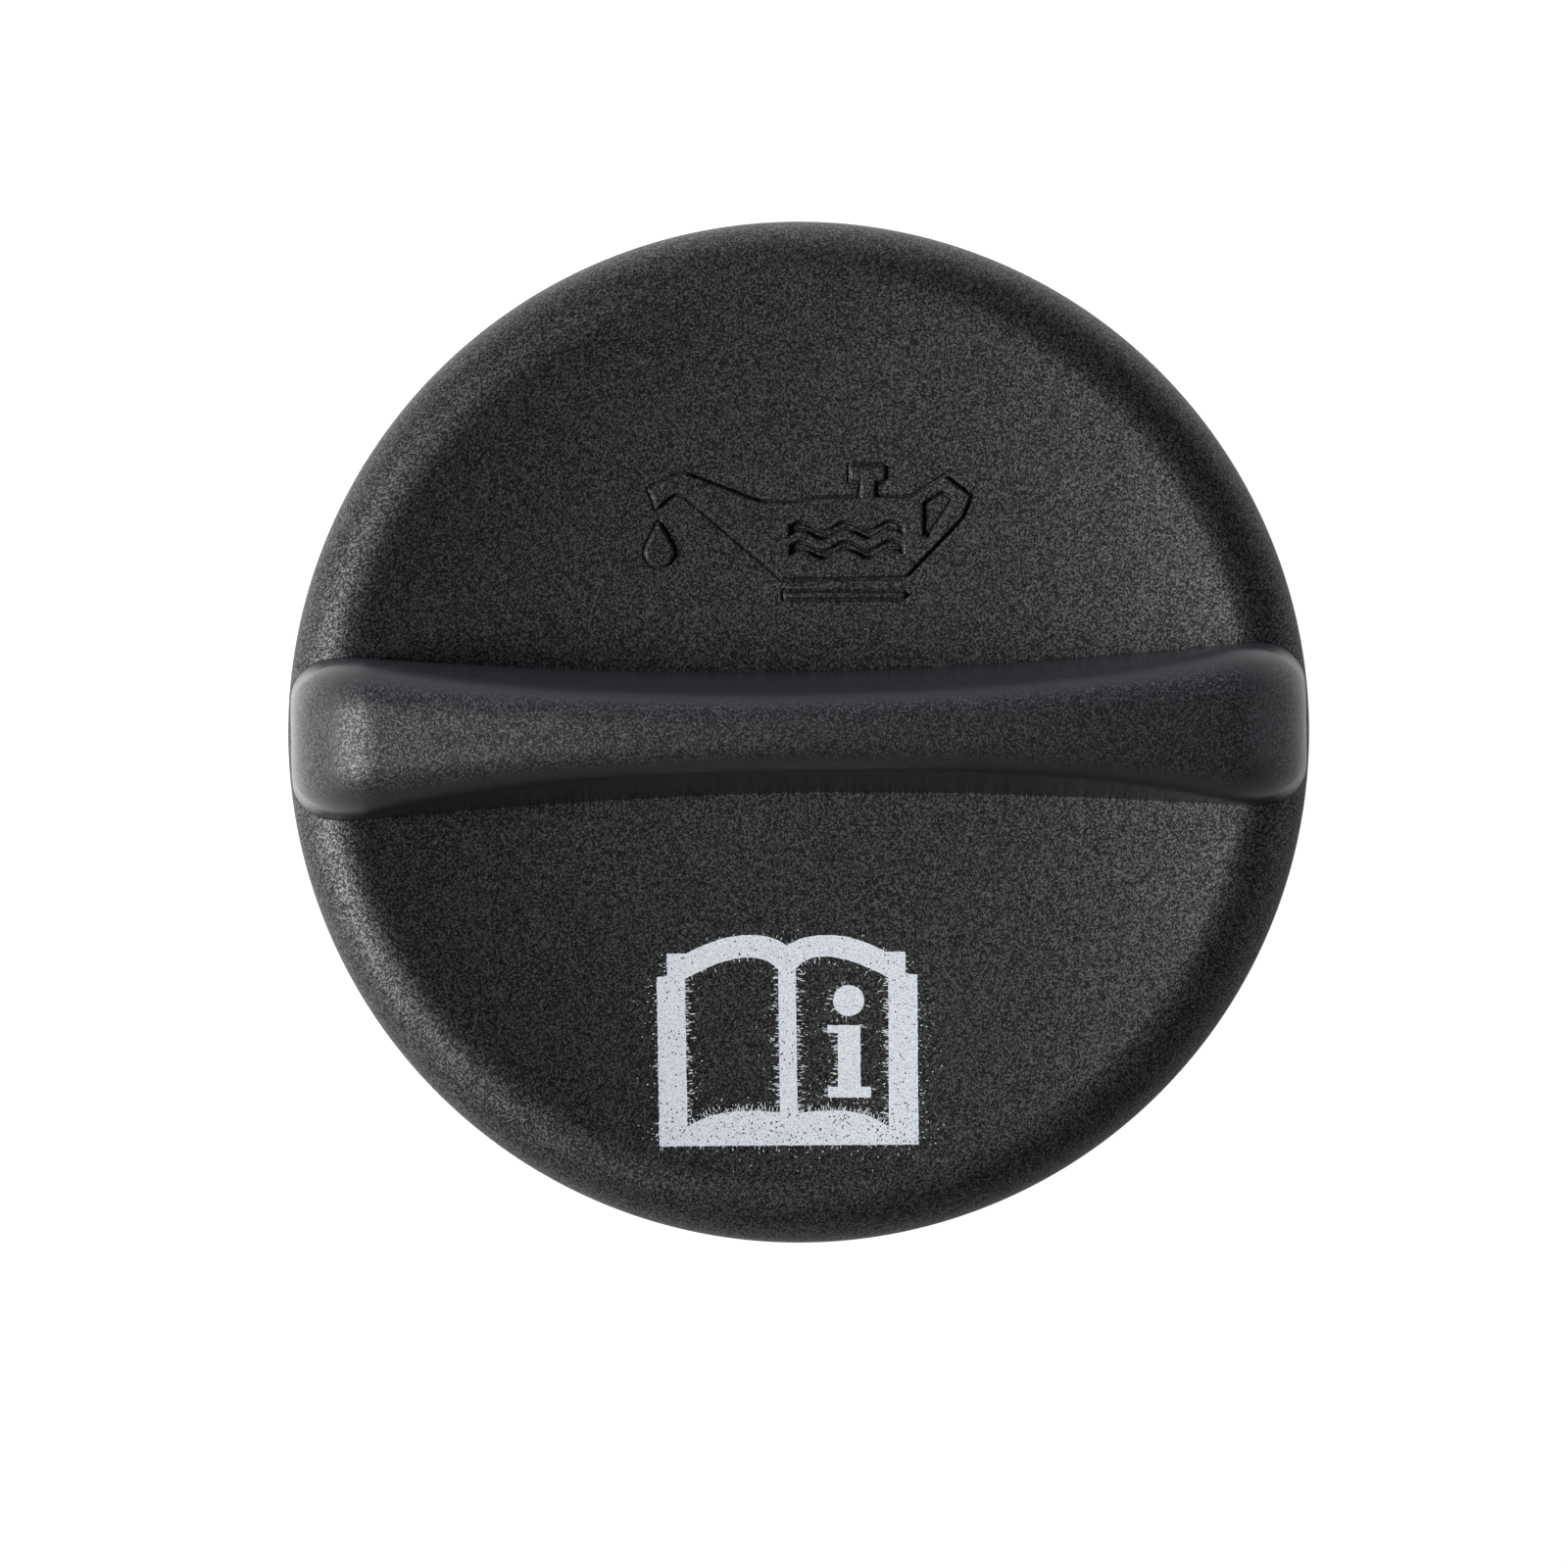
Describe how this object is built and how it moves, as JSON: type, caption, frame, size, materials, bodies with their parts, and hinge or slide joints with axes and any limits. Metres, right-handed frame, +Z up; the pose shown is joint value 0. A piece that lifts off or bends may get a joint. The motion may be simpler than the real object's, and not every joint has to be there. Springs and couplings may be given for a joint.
{
  "type": "oil filler cap",
  "caption": "Round dished cap with a tall grip bar across it, a bayonet plug with ramped lugs below, and a flat seal ring under the plug's flange.",
  "frame": {"origin": "centre of the plug's lower end, on the plane on which the cap stands", "axes": "+Z up along the cap's axis, from the plug to the grip bar; +X along the grip bar; the side with the raised sign is +Y"},
  "size_m": [0.07, 0.07, 0.0351],
  "materials": {
    "cover": "black glass-filled nylon with a spark-grained skin",
    "plug": "black glass-filled nylon, smooth moulded",
    "seal": "black nitrile rubber",
    "disc": "dark grey nylon, smooth moulded"
  },
  "bodies": {
    "root": {"cover": "cover", "plug": "plug", "seal_ring": "seal", "splash_disc": "disc"}
  },
  "joints": []
}
